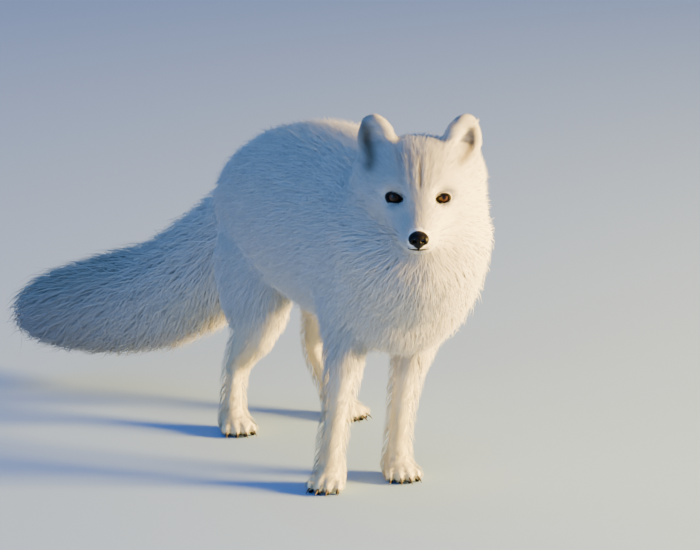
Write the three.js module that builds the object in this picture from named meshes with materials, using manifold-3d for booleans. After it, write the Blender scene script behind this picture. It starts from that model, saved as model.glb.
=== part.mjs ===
// Arctic fox in its winter coat, life size, standing with its head and its tail turned to its right.
// Millimetres. +X runs forward along the trunk, +Y to the animal's left and +Z up; the floor is Z = 0.
// Every solid is the outline of the coat. Each part of the body is a loft of oval rings along a curve.
// Where two parts run into each other one is cut back by the other, which leaves a thin gap between them.
import * as THREE from 'three';
import Module from 'manifold-3d';
import { LoftGeometry } from 'three/addons/geometries/LoftGeometry.js';
import { mergeVertices } from 'three/addons/utils/BufferGeometryUtils.js';

// Driving dimensions.
const CUT = 0.3;                              // width of the gap between two nodes
const ORIGIN = [195, 58, 0];                  // centres the model's box on the origin
const HEAD_AT = [95, -19, 294];               // the point midway between the eyes
const HEAD_TURN = -25;                        // degrees round Z: less than 0 looks to its right
const HEAD_NOD = -1;                          // degrees of nose up
const EYE_SPREAD = 23;                        // from the midline to an eye's centre
const EYE_RADIUS = 9;
const EYE_SQUINT = 20;                        // degrees that each eye looks outwards
const EAR_ROOT = [-38, 37, 35];               // the left ear's, in the head's frame
const EAR_HEIGHT = 35;
const EAR_SPLAY = 17;                         // degrees that the ears lean outwards
const NOSE_AT = [54.5, 0, -28];               // in the head's frame
const MOUTH = [11, -38.5];                    // the mouth's corners and its height, in the head's frame
const PAW_LENGTH = 58;
const PAW_WIDTH = 40;
const PAW_HEIGHT = 27;

const wasm = await Module();
wasm.setup();
const rad = THREE.MathUtils.degToRad;
const vector = (p) => new THREE.Vector3(...p);
const still = new THREE.Matrix4();

// Share of the full girth at a distance t from an end that takes `share` of the length to close.
const endRounding = (t, share) => (t >= share ? 1 : Math.sqrt(1 - (1 - t / share) ** 2));

// A closed body of oval rings along a smooth curve. A station is
// [x, y, z, half width, height above the curve, depth below it].
// `upright` is the direction that "above" leans to.
// `round` is the share of the length that each end takes to close.
function loft(stations, options = {}) {
  const { rings = 16, sides = 20, upright = [0, 0, 1], round = [0.12, 0.12], grow = 0 } = options;
  const places = stations.map((station) => vector(station.slice(0, 3)));
  const girths = stations.map((station) => vector(station.slice(3, 6)));
  const line = new THREE.CatmullRomCurve3(places, false, 'centripetal');
  const girth = new THREE.CatmullRomCurve3(girths, false, 'catmullrom', 0.5);
  const lean = vector(upright);
  const sections = [];
  for (let i = 0; i <= rings; i += 1) {
    // Rings crowd towards the ends, where the body closes.
    const t = 0.5 - 0.5 * Math.cos((Math.PI * (i + 0.5)) / (rings + 1));
    const at = line.getPoint(t);
    const along = line.getTangent(t);
    const above = lean.clone().addScaledVector(along, -lean.dot(along)).normalize();
    const across = new THREE.Vector3().crossVectors(above, along);
    const { x: wide, y: high, z: low } = girth.getPoint(t);
    const close = endRounding(t, round[0]) * endRounding(1 - t, round[1]);
    const ring = [];
    for (let k = 0; k < sides; k += 1) {
      const angle = (2 * Math.PI * k) / sides;
      const [c, s] = [Math.cos(angle), Math.sin(angle)];
      ring.push(at.clone()
        .addScaledVector(across, c * (wide * close + grow))
        .addScaledVector(above, s * ((s > 0 ? high : low) * close + grow)));
    }
    sections.push(ring);
  }
  return new LoftGeometry(sections, { capStart: true, capEnd: true });
}

// A geometry as a manifold solid, moved by a matrix.
function solid(geometry, matrix = still) {
  const bare = new THREE.BufferGeometry().copy(geometry).applyMatrix4(matrix);
  bare.deleteAttribute('normal');
  bare.deleteAttribute('uv');
  const merged = mergeVertices(bare, 1e-4);
  const corners = merged.index.array;
  const kept = [];
  for (let i = 0; i < corners.length; i += 3) {
    const [a, b, c] = corners.slice(i, i + 3);
    if (a !== b && b !== c && c !== a) kept.push(a, b, c);
  }
  return new wasm.Manifold(new wasm.Mesh({
    numProp: 3,
    vertProperties: merged.attributes.position.array,
    triVerts: new Uint32Array(kept),
  }));
}

function geometryOf(made) {
  const { numProp, vertProperties, triVerts } = made.getMesh();
  const places = new Float32Array((vertProperties.length / numProp) * 3);
  for (let i = 0; i < places.length / 3; i += 1) {
    places.set(vertProperties.subarray(i * numProp, i * numProp + 3), i * 3);
  }
  const geometry = new THREE.BufferGeometry();
  geometry.setAttribute('position', new THREE.BufferAttribute(places, 3));
  geometry.setIndex(new THREE.BufferAttribute(triVerts, 1));
  geometry.computeVertexNormals();
  return geometry;
}

// What is left of a body after others are cut out of it, without the crumbs that a cut can leave.
function cutBy(body, ...others) {
  const left = others.reduce((rest, other) => rest.subtract(other), body);
  return left.decompose().reduce((a, b) => (a.volume() > b.volume() ? a : b));
}

const joined = (...bodies) => bodies.reduce((a, b) => a.add(b));

function frameAt(place, turn = [0, 0, 0]) {
  const euler = new THREE.Euler(...turn.map(rad), 'ZYX');
  return new THREE.Matrix4().compose(
    vector(place),
    new THREE.Quaternion().setFromEuler(euler),
    new THREE.Vector3(1, 1, 1),
  );
}

// Materials.
const coat = new THREE.MeshStandardMaterial({ color: '#ece8e1', roughness: 0.9, metalness: 0 });
const leather = new THREE.MeshStandardMaterial({ color: '#151312', roughness: 0.45, metalness: 0 });
const cornea = new THREE.MeshStandardMaterial({ color: '#3a2110', roughness: 0.08, metalness: 0 });

const fox = new THREE.Group();
fox.position.set(...ORIGIN);

function add(name, made, material, parent = fox) {
  const mesh = new THREE.Mesh(geometryOf(made), material);
  mesh.name = name;
  parent.add(mesh);
}

// Trunk: chest, ribs, loin and rump in one barrel.
const TRUNK = [
  [80, 0, 218, 44, 48, 58],
  [50, 2, 224, 67, 74, 90],
  [0, 2, 226, 78, 88, 101],
  [-70, 0, 230, 83, 92, 98],
  [-150, 0, 234, 83, 88, 98],
  [-225, 0, 232, 79, 77, 83],
  [-285, 0, 223, 66, 61, 69],
  [-320, -2, 212, 52, 47, 57],
  [-342, -4, 205, 38, 34, 42],
];
const trunkShape = (grow) => solid(loft(TRUNK, { rings: 15, sides: 22, round: [0.1, 0.07], grow }));

// Neck: the ruff from the shoulders to the back of the head.
const NECK = [
  [-30, 0, 232, 60, 62, 66],
  [10, 2, 240, 72, 77, 88],
  [44, -4, 256, 75, 73, 86],
  [66, -11, 276, 69, 60, 72],
  [80, -18, 288, 50, 42, 48],
];
const neckShape = (grow) => solid(loft(NECK, { rings: 9, sides: 20, grow }));

// Tail: a thick brush that hangs back, down and round to the right.
const TAIL = [
  [-300, 0, 220, 34, 34, 36],
  [-345, -12, 184, 43, 47, 50],
  [-392, -36, 138, 50, 49, 61],
  [-440, -70, 108, 51, 44, 64],
  [-480, -112, 95, 47, 39, 58],
  [-508, -158, 86, 37, 30, 46],
  [-522, -198, 78, 14, 12, 22],
];
const tailShape = (grow) => solid(loft(TAIL, { rings: 14, sides: 16, round: [0.05, 0.12], grow }));

// Head, in its own frame: the origin is midway between the eyes and +X runs to the nose.
const headFrame = frameAt(HEAD_AT, [0, -HEAD_NOD, HEAD_TURN]);
const HEAD = [
  [-84, 0, 0, 36, 36, 40],
  [-62, 0, 0, 58, 50, 54],
  [-38, 0, -3, 64, 55, 60],
  [-18, 0, -7, 59, 52, 56],
  [-4, 0, -12, 47, 44, 48],
  [7, 0, -18, 34, 34, 38],
  [18, 0, -24, 26, 24, 30],
  [30, 0, -28, 21, 19, 21],
  [42, 0, -30, 18, 15.5, 16],
  [53, 0, -31, 13.5, 12, 12],
  [59, 0, -31, 8, 7, 7],
];
// The thick fur under and behind each ear, which makes the face round.
const TEMPLE = { place: [-42, 36, 8], radii: [28, 28, 38] };
const templeShape = (side, grow) => solid(
  new THREE.SphereGeometry(1, 10, 7)
    .scale(...TEMPLE.radii.map((radius) => radius + grow))
    .translate(TEMPLE.place[0], side * TEMPLE.place[1], TEMPLE.place[2]),
);
const headShape = (grow, matrix = new THREE.Matrix4()) => joined(
  solid(loft(HEAD, { rings: 14, sides: 22, round: [0.1, 0.05], grow })),
  templeShape(1, grow),
  templeShape(-1, grow),
).transform(matrix.elements);

const noseShape = (grow = 0) => solid(
  new THREE.SphereGeometry(1, 12, 8).scale(8 + grow, 8.8 + grow, 7.2 + grow).translate(...NOSE_AT),
);

const eyeFrame = (side) => frameAt([0, side * EYE_SPREAD, 0], [0, 0, side * EYE_SQUINT]);
const eyeShape = (side, grow = 0) => solid(
  new THREE.SphereGeometry(EYE_RADIUS + grow, 12, 8),
  eyeFrame(side),
);
// The opening between the lids: an almond that widens outwards through the coat.
const lidOpening = (side) => solid(
  new THREE.SphereGeometry(1, 12, 7).scale(16, 10.5, 7.4)
    .rotateX(side * rad(12)).rotateY(rad(-12)).translate(11, -4.5 * side, 1.6),
  eyeFrame(side),
);

// Everything under the slit of the mouth and in front of its corners.
const belowMouth = (grow) => solid(
  new THREE.BoxGeometry(80 + grow, 80, 40 + grow)
    .translate(MOUTH[0] + 40 - grow / 2, 0, MOUTH[1] - 20 + grow / 2),
);

// An ear in its own frame: +Z runs to the tip and +X is the way it opens.
const earFrame = (side) => frameAt(
  [EAR_ROOT[0], side * EAR_ROOT[1], EAR_ROOT[2]],
  [-side * EAR_SPLAY, -6, side * 24],
);
function earShape(side) {
  const h = EAR_HEIGHT;
  const shell = loft([
    [0, 0, -14, 21, 11, 11],
    [0, 0, 0.25 * h, 21, 10, 10],
    [0, 0, 0.55 * h, 18, 8, 8],
    [0, 0, 0.85 * h, 11, 6, 6],
    [0, 0, h, 5, 4, 4],
  ], { rings: 7, sides: 14, upright: [1, 0, 0], round: [0.1, 0.14] });
  const hollow = new THREE.SphereGeometry(1, 10, 6)
    .scale(12.5, 10, 0.48 * h)
    .translate(11, 1 * side, 0.32 * h);
  return solid(shell, earFrame(side)).subtract(solid(hollow, earFrame(side)));
}

function addHead() {
  const head = new THREE.Group();
  head.applyMatrix4(headFrame);
  fox.add(head);
  const sides = { left: 1, right: -1 };
  let skull = headShape(0).subtract(noseShape(CUT));
  for (const [name, side] of Object.entries(sides)) {
    skull = skull.subtract(eyeShape(side, CUT)).subtract(lidOpening(side));
    add(`eye_${name}`, eyeShape(side), cornea, head);
    add(`ear_${name}`, cutBy(earShape(side), headShape(CUT)), coat, head);
  }
  add('head', cutBy(skull.subtract(belowMouth(CUT))), coat, head);
  add('lower_jaw', cutBy(skull.intersect(belowMouth(0))), coat, head);
  add('nose', noseShape(), leather, head);
}

// Legs. Each is a table of stations from inside the trunk down to the paw, and +X is the way "above" leans.
const LEGS = {
  foreleg_right: {
    limb: [
      [-18, -40, 190, 36, 40, 40],
      [-14, -44, 152, 27, 30, 30],
      [-6, -52, 110, 19, 20, 20],
      [-1, -60, 70, 16.5, 16, 17],
      [2, -67, 40, 16, 16, 17],
      [4, -70, 14, 17, 17, 17],
    ],
    paw: { at: [4, -70], turn: -35 },
  },
  foreleg_left: {
    limb: [
      [-18, 44, 190, 36, 40, 40],
      [-16, 36, 152, 27, 30, 30],
      [-12, 20, 110, 19, 20, 21],
      [-10, 12, 70, 16, 16, 17],
      [-9, 8, 40, 14.5, 15, 16],
      [-8, 6, 14, 16, 16, 16],
    ],
    paw: { at: [-8, 6], turn: -9 },
  },
  hindleg_right: {
    limb: [
      [-252, -38, 215, 38, 60, 56],
      [-240, -43, 165, 38, 60, 56],
      [-236, -46, 125, 31, 56, 45],
      [-238, -49, 98, 21, 38, 32],
      [-250, -53, 78, 16.5, 22, 22],
      [-259, -57, 60, 14.5, 16, 18],
      [-252, -62, 38, 14, 15, 16],
      [-242, -67, 14, 16, 16, 15],
    ],
    paw: { at: [-241, -67], turn: -8 },
  },
  hindleg_left: {
    limb: [
      [-262, 36, 215, 38, 60, 56],
      [-258, 42, 165, 36, 54, 54],
      [-262, 44, 128, 29, 46, 42],
      [-276, 45, 100, 20, 30, 29],
      [-292, 45, 80, 16, 19, 21],
      [-296, 45, 62, 14.5, 16, 16],
      [-278, 49, 38, 14, 15, 15],
      [-256, 53, 14, 16, 16, 15],
    ],
    paw: { at: [-255, 53], turn: 18 },
  },
};

const limbShape = (limb, grow) => solid(
  loft(limb, { rings: 11, sides: 14, upright: [1, 0, 0], round: [0.08, 0.02], grow }),
);

// A paw in its own frame: +X runs to the toes and the sole lies on the floor.
// Its root is under the wrist or hock.
function pawShape({ at, turn }) {
  const frame = frameAt([...at, 0], [0, 0, turn]);
  const [back, front] = [-0.33 * PAW_LENGTH, 0.67 * PAW_LENGTH];
  const half = PAW_WIDTH / 2;
  const pad = loft([
    [back, 0, 9, 0.62 * half, 9, 12],
    [back + 10, 0, 11, 0.8 * half, 13, 14],
    [6, 0, 11, 0.92 * half, PAW_HEIGHT - 13, 14],
    [22, 0, 9, 0.96 * half, 10, 12],
    [front - 4, 0, 8, 0.7 * half, 6, 11],
  ], { rings: 5, sides: 10, round: [0.12, 0.2] });
  const shapes = [pad];
  for (const k of [-1.5, -0.5, 0.5, 1.5]) {
    const tip = [front - 9 - 5 * Math.abs(k), 0.245 * PAW_WIDTH * k];
    shapes.push(new THREE.SphereGeometry(1, 8, 5).scale(12, 6.2, 8.4).translate(tip[0], tip[1], 8));
    const claw = new THREE.CylinderGeometry(0.5, 2, 12, 5).rotateZ(rad(-106));
    shapes.push(claw.translate(tip[0] + 10, tip[1], 4.6));
  }
  const under = new THREE.BoxGeometry(4 * PAW_LENGTH, 4 * PAW_LENGTH, 40).translate(0, 0, -20);
  return joined(...shapes.map((shape) => solid(shape, frame))).subtract(solid(under, frame));
}

function addLegs() {
  const body = [trunkShape(CUT), neckShape(CUT), headShape(CUT, headFrame)];
  for (const [name, { limb, paw }] of Object.entries(LEGS)) {
    const foot = pawShape(paw);
    add(name.replace('leg', 'paw'), foot, coat);
    add(name, cutBy(limbShape(limb, 0), ...body, foot), coat);
  }
}

add('neck', cutBy(neckShape(0), headShape(CUT, headFrame)), coat);
add('trunk', cutBy(trunkShape(0), neckShape(CUT), headShape(CUT, headFrame)), coat);
add('tail', cutBy(tailShape(0), trunkShape(CUT)), coat);
addHead();
addLegs();

export default fox;
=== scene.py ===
"""Arctic fox in winter coat: a skin under tufts of fur, eyes, lids, nose, lips, claws and whiskers."""

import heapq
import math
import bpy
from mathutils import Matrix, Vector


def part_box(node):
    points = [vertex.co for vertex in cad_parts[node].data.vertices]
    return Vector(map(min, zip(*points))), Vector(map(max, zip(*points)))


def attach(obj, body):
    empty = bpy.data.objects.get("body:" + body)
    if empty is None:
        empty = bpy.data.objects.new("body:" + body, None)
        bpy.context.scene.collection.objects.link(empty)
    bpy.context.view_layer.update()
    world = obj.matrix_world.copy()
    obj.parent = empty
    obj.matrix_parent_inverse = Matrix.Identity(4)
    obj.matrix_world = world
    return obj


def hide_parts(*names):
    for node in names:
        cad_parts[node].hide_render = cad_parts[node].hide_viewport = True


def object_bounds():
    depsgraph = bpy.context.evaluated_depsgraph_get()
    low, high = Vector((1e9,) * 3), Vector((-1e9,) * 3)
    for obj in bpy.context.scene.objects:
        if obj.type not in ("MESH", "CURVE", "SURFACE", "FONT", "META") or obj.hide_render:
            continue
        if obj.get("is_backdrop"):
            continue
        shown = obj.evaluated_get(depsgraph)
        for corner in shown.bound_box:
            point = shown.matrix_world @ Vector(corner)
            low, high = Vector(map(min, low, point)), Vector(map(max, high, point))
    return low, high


bl_info = {
    "name": "Arctic Fox",
    "version": (1, 0, 0),
    "blender": (4, 5, 0),
    "location": "View3D > Sidebar > Fox",
    "description": "Grows a winter coat over the solids of a standing arctic fox",
    "category": "Object",
}

from collections import namedtuple

import bpy
import numpy as np
import openvdb
from mathutils import Vector, kdtree

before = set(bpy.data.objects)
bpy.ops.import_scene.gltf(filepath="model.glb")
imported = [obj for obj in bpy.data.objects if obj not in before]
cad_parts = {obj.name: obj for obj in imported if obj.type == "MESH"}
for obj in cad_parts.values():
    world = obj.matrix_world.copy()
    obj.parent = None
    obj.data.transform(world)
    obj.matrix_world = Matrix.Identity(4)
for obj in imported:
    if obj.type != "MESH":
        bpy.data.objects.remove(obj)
CAD_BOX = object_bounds()
BODY = "root"
MM = 0.001
SEED = 7


# Small sums ---------------------------------------------------------------------------------------


def unit(v):
    """A vector, or each row of vectors, scaled to length 1."""
    v = np.asarray(v, float)
    return v / np.maximum(np.linalg.norm(v, axis=-1, keepdims=True), 1e-12)


def dot(a, b):
    """The dot product of each pair of rows, kept as a column."""
    return np.sum(a * b, axis=-1, keepdims=True)


def ramp(x, start, end):
    """0 before start, 1 after end and smooth between them."""
    t = np.clip((np.asarray(x, float) - start) / (end - start), 0, 1)
    return t * t * (3 - 2 * t)          # end may be less than start, for a fall


def mix(a, b, t):
    """a where t is 0 and b where t is 1."""
    return a + (b - a) * t


def rounded_union(a, b, blend_width):
    """The lesser of two distances with the crease between them filled."""
    h = np.clip(0.5 + 0.5 * (b - a) / blend_width, 0, 1)
    return mix(b, a, h) - blend_width * h * (1 - h)


def rounded_cut(a, b, blend_width):
    """The first distance with the second shape cut out of it, with a soft edge."""
    return -rounded_union(-a, b, blend_width)


def capsule(p, a, b, radius):
    """Distance to a round-ended rod."""
    a, b = np.asarray(a, float), np.asarray(b, float)
    t = np.clip((p - a) @ (b - a) / ((b - a) @ (b - a)), 0, 1)
    return np.linalg.norm(p - a - t[..., None] * (b - a), axis=-1) - radius


def linear(text):
    """An sRGB hex colour as the linear numbers that Blender works with."""
    value = np.array([int(text[i:i + 2], 16) for i in (1, 3, 5)]) / 255
    out = np.where(value <= 0.04045, value / 12.92, ((value + 0.055) / 1.055) ** 2.4)
    return tuple(float(v) for v in out)


# Places taken from the solids ---------------------------------------------------------------------


def rows_of(items, key, width, kind=np.float32):
    """One value of every item of a mesh, such as every vertex's place, as rows."""
    out = np.empty(len(items) * width, kind)
    items.foreach_get(key, out)
    return out.reshape(-1, width)


def vertices_of(node):
    """A CAD node's vertices as rows."""
    return rows_of(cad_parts[node].data.vertices, "co", 3)


def corners_of(node):
    """The low and the high corner of a CAD node's box."""
    return [np.array(corner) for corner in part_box(node)]


def middle(node):
    """The middle of a CAD node's box."""
    low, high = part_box(node)
    return np.array((low + high) / 2)


NODES = sorted(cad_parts)
SIDES = {"left": 1, "right": -1}
LEGS = [name for name in NODES if "leg" in name]
EARS = [name for name in NODES if name.startswith("ear")]
PAWS = [name for name in NODES if "paw" in name]
EYES = {side: middle(f"eye_{side}") for side in SIDES}
EYE_RADIUS = float(np.ptp(vertices_of("eye_left"), axis=0)[2] / 2)
NOSE = middle("nose")
FACE = (EYES["left"] + EYES["right"]) / 2
LEFTWARD = unit(EYES["left"] - EYES["right"])
UPWARD = unit(np.array((0, 0, 1)) - LEFTWARD * LEFTWARD[2])
FORWARD = np.cross(LEFTWARD, UPWARD)
TURN = np.array((FORWARD, LEFTWARD, UPWARD))


def in_head(points):
    """Points in the head's own frame: forward, left and up, in mm from midway between the eyes."""
    return (np.asarray(points) - FACE) @ TURN.T / MM


def from_head(points):
    """The way back from in_head."""
    return FACE + np.asarray(points, float) * MM @ TURN


class Eye:
    """One eye in a frame of its own, in mm: outwards from the nose, up, and forward from its centre."""

    # The outer edge of the lids' dark rim: an almond whose inner corner points down to the nose.
    ALMOND = ((7.0, 0.2), (5.4, 3.3), (0.6, 4.6), (-4.6, 2.6),
              (-9.8, -4.7), (-4.8, -5.0), (0.4, -6.2), (5.2, -4.2))
    RIM = 1.8              # width of that bare dark rim
    LID = 1.0              # thickness of the lids over the eyeball
    SQUINT = {"left": 0.87, "right": 0.98}     # how far each almond is drawn in to its inner corner
    TURN = math.radians(8)
    RISE = math.radians(7)

    def __init__(self, side):
        self.side, self.centre = side, EYES[side]
        sign = SIDES[side]
        level = math.cos(self.RISE)
        ahead = np.array((
            math.cos(self.TURN) * level, sign * math.sin(self.TURN) * level, math.sin(self.RISE)))
        outward = unit(np.cross(np.array((0, 0, 1)), ahead)) * sign
        upward = unit(np.cross(ahead, outward)) * sign
        self.frame = np.array((outward, upward, ahead)) @ TURN
        corner = np.array(self.ALMOND[4])
        self.outline = corner + (smooth_loop(self.ALMOND, 8) - corner) * self.SQUINT[side]

    def local(self, points):
        """Points in the eye's frame."""
        return (points - self.centre) @ self.frame.T / MM

    def world(self, points):
        """The way back."""
        return self.centre + np.asarray(points, float) * MM @ self.frame

    def lid_height(self, local, gap):
        """Height above the lids, which wrap the eyeball and sink into the face beyond the almond."""
        sink = 4.3 * ramp(gap, 1.5, 8.0)
        return np.linalg.norm(local, axis=-1) - EYE_RADIUS / MM - self.LID + sink

    def off_almond(self, flat):
        """Distance from the almond, less than 0 inside, and the way out of it, in the lids' plane."""
        a, b = self.outline, np.roll(self.outline, -1, 0)
        p, edge = flat[:, None], b - a
        t = np.clip(((p - a) * edge).sum(-1) / (edge ** 2).sum(-1), 0, 1)
        gap = p - (a + t[..., None] * edge)
        far = np.linalg.norm(gap, axis=-1)
        k = far.argmin(1)
        row = np.arange(len(flat))
        x, y = flat[:, :1], flat[:, 1:]
        spans = (a[:, 1] > y) != (b[:, 1] > y)
        crossed = spans & (x < edge[:, 0] * (y - a[:, 1]) / (edge[:, 1] + 1e-12) + a[:, 0])
        sign = np.where(crossed.sum(1) % 2, -1.0, 1.0)
        return far[row, k] * sign, unit(gap[row, k]) * sign[:, None]

    def near(self, points, reach=16 * MM):
        """Which points lie near it."""
        return np.flatnonzero(np.linalg.norm(points - self.centre, axis=1) < reach)


def smooth_loop(corners, steps):
    """A closed smooth curve through corners, with a number of points for each."""
    p = np.asarray(corners, float)
    before, after, later = np.roll(p, 1, 0), np.roll(p, -1, 0), np.roll(p, -2, 0)
    t = (np.arange(steps) / steps)[None, :, None]
    a, b, c, d = (q[:, None] for q in (before, p, after, later))
    out = 0.5 * (2 * b + (c - a) * t + (2 * a - 5 * b + 4 * c - d) * t ** 2
                 + (3 * b - a - 3 * c + d) * t ** 3)
    return out.reshape(-1, p.shape[1])


LIDDED = [Eye(side) for side in SIDES]


# Fields on a grid ---------------------------------------------------------------------------------


class Grid:
    """A regular grid over a box."""

    def __init__(self, box, step, margin):
        self.low = np.array(box[0]) - margin
        self.step = step
        self.counts = np.ceil((np.array(box[1]) + margin - self.low) / step).astype(int) + 1

    def lines(self):
        """The coordinates of its planes along each axis."""
        return [self.low[k] + self.step * np.arange(self.counts[k]) for k in range(3)]

    def points(self):
        """Every point, as an array of rows on three axes."""
        return np.stack(np.meshgrid(*self.lines(), indexing="ij"), -1)

    def block(self, centre, reach):
        """The part of it that lies near a place: its index, and its points as rows on three axes."""
        near = [np.flatnonzero(np.abs(line - at) < reach) for line, at in zip(self.lines(), centre)]
        lines = [line[k] for line, k in zip(self.lines(), near)]
        return np.ix_(*near), np.stack(np.meshgrid(*lines, indexing="ij"), -1)

    def distance(self, points, triangles, quads, inside, outside):
        """Signed distance to a closed mesh, true up to `inside` and `outside`."""
        made = openvdb.FloatGrid.createLevelSetFromPolygons(
            ((points - self.low) / self.step).astype(np.float32), triangles=triangles, quads=quads,
            exBandWidth=outside / self.step, inBandWidth=inside / self.step)
        values = np.empty(self.counts, np.float32)
        made.copyToArray(values)
        return values * np.float32(self.step)

    def distance_to_node(self, node, inside, outside):
        """Signed distance to a CAD node."""
        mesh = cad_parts[node].data
        mesh.calc_loop_triangles()
        triangles = rows_of(mesh.loop_triangles, "vertices", 3, np.uint32)
        return self.distance(vertices_of(node), triangles, None, inside, outside)

    def surface(self, values, level=0.0, adaptivity=0.0):
        """Where the values pass a level: points, triangles and quads."""
        made = openvdb.FloatGrid(float(np.max(values)))
        made.copyFromArray(np.ascontiguousarray(values, np.float32))
        points, triangles, quads = made.convertToPolygons(isovalue=float(level), adaptivity=adaptivity)
        return np.asarray(points, float) * self.step + self.low, np.asarray(triangles), np.asarray(quads)


class Field:
    """Values on a grid, read anywhere by straight blending between its points."""

    def __init__(self, grid, values):
        self.grid = grid
        self.values = values

    def at(self, points):
        """The values at rows of points."""
        g = (np.asarray(points) - self.grid.low) / self.grid.step
        i = np.clip(np.floor(g).astype(int), 0, self.grid.counts - 2)
        t = np.clip(g - i, 0, 1)
        flat = self.values.reshape(-1, *self.values.shape[3:])
        across, along = self.grid.counts[1] * self.grid.counts[2], self.grid.counts[2]
        base = i[:, 0] * across + i[:, 1] * along + i[:, 2]
        out = 0
        for a, b, c in np.ndindex(2, 2, 2):
            w = np.prod(np.where((a, b, c), t, 1 - t), axis=1)
            v = flat[base + a * across + b * along + c]
            out = out + (w[:, None] * v if v.ndim > 1 else w * v)
        return out

    def slope(self, points, reach=1.5 * MM):
        """The direction in which the values rise fastest, at rows of points."""
        rise = [self.at(points + reach * e) - self.at(points - reach * e) for e in np.eye(3)]
        return unit(np.stack(rise, -1))

    def at_grid(self, grid):
        """The values at the points of another grid, read one by one."""
        return self.at(grid.points().reshape(-1, 3)).reshape(grid.counts)

    def on(self, grid):
        """The same values on a finer grid, which is quick."""
        values = self.values
        for axis, line in enumerate(grid.lines()):
            g = np.clip((line - self.grid.low[axis]) / self.grid.step, 0, self.grid.counts[axis] - 1.001)
            i = g.astype(int)
            shape = [1] * values.ndim
            shape[axis] = -1
            t = (g - i).astype(np.float32).reshape(shape)
            values = np.take(values, i, axis) * (1 - t) + np.take(values, i + 1, axis) * t
        return values


def blurred(values, spread):
    """Values smoothed along their first three axes by a bell curve `spread` cells wide."""
    reach = max(1, math.ceil(2.5 * spread))
    bell = np.exp(-0.5 * (np.arange(-reach, reach + 1) / spread) ** 2)
    bell /= bell.sum()
    for axis in range(3):
        pad = [(reach, reach) if k == axis else (0, 0) for k in range(values.ndim)]
        wide = np.pad(values, pad, mode="edge")
        out = np.zeros_like(values)
        for k, w in enumerate(bell):
            out += values.dtype.type(w) * np.take(wide, np.arange(k, k + values.shape[axis]), axis)
        values = out
    return values


# Meshes and materials -----------------------------------------------------------------------------


def mesh_from(name, points, faces, uv=None, material=None):
    """A smooth mesh object. Faces are arrays of corners, one array for each number of corners."""
    faces = [np.asarray(f, np.int32) for f in faces if len(f)]
    corners = np.concatenate([f.ravel() for f in faces])
    sizes = np.concatenate([np.full(len(f), f.shape[1]) for f in faces])
    mesh = bpy.data.meshes.new(name)
    mesh.vertices.add(len(points))
    mesh.vertices.foreach_set("co", np.asarray(points, np.float32).ravel())
    mesh.loops.add(len(corners))
    mesh.loops.foreach_set("vertex_index", corners)
    mesh.polygons.add(len(sizes))
    mesh.polygons.foreach_set("loop_start", (np.cumsum(sizes) - sizes).astype(np.int32))
    mesh.polygons.foreach_set("use_smooth", np.ones(len(sizes), bool))
    mesh.update(calc_edges=True)
    if uv is not None:
        layer = mesh.uv_layers.new(name="OFBake")
        layer.uv.foreach_set("vector", np.asarray(uv, np.float32).ravel())
    if material:
        mesh.materials.append(material)
    obj = bpy.data.objects.new(name, mesh)
    bpy.context.scene.collection.objects.link(obj)
    return obj


def add_values(obj, name, values):
    """A number for each vertex, for a material to read."""
    data = obj.data.attributes.new(name, "FLOAT", "POINT").data
    data.foreach_set("value", np.asarray(values, np.float32))


AMOUNT, FIRST, SECOND, MIXED = 0, 6, 7, 2      # the sockets of a Mix node that mixes colours


def node(tree, kind, sockets=None, **settings):
    """Adds a shader node with its settings, and links or sets the sockets that are given."""
    made = tree.nodes.new(kind)
    for key, value in settings.items():
        setattr(made, key, value)
    for key, value in (sockets or {}).items():
        socket = made.inputs[key]
        if isinstance(value, bpy.types.NodeSocket):
            tree.links.new(value, socket)
        else:
            socket.default_value = (*value, 1) if socket.type == "RGBA" else value
    return made


def new_material(name):
    """An empty material and its tree."""
    made = bpy.data.materials.new(name)
    made.use_nodes = True
    made.node_tree.nodes.clear()
    return made, made.node_tree


# What a user would change -------------------------------------------------------------------------


COAT_DEPTHS = {
    "back": (13, "Along the back and flanks"),
    "belly": (15, "Under the belly"),
    "ruff": (14, "Round the neck and on the chest"),
    "brush": (16, "On the thick of the tail"),
    "haunch": (9, "On the thighs and upper arms"),
    "shin": (5.5, "On the lower legs"),
    "foot": (3.5, "On the feet"),
    "cheek": (10, "On the cheeks"),
    "brow": (6.5, "On the forehead"),
    "muzzle": (2.2, "On the muzzle and round the eyes"),
    "ear": (1.0, "On the ears"),
}


class FoxSizes(bpy.types.PropertyGroup):
    """Depths of the coat from skin to tips, and the sizes of its tufts."""


for part, (depth, where) in COAT_DEPTHS.items():
    FoxSizes.__annotations__[part] = bpy.props.FloatProperty(
        name=f"{part.title()} coat", description=f"{where}, from the skin to the tips",
        default=depth * MM, min=0.5 * MM, max=50 * MM, unit="LENGTH")
FoxSizes.__annotations__["shortest_tuft"] = bpy.props.FloatProperty(
    name="Shortest tuft", description="Length of a tuft where the coat has no depth",
    default=3 * MM, unit="LENGTH")
FoxSizes.__annotations__["tuft_lie"] = bpy.props.FloatProperty(
    name="Lie of the tufts", description="Length of a tuft for each unit of the coat's depth",
    default=2.4, min=1, max=4)
FoxSizes.__annotations__["tuft_width"] = bpy.props.FloatProperty(
    name="Tuft width", description="Width of the longest tufts near the root",
    default=1.15 * MM, unit="LENGTH")


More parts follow.
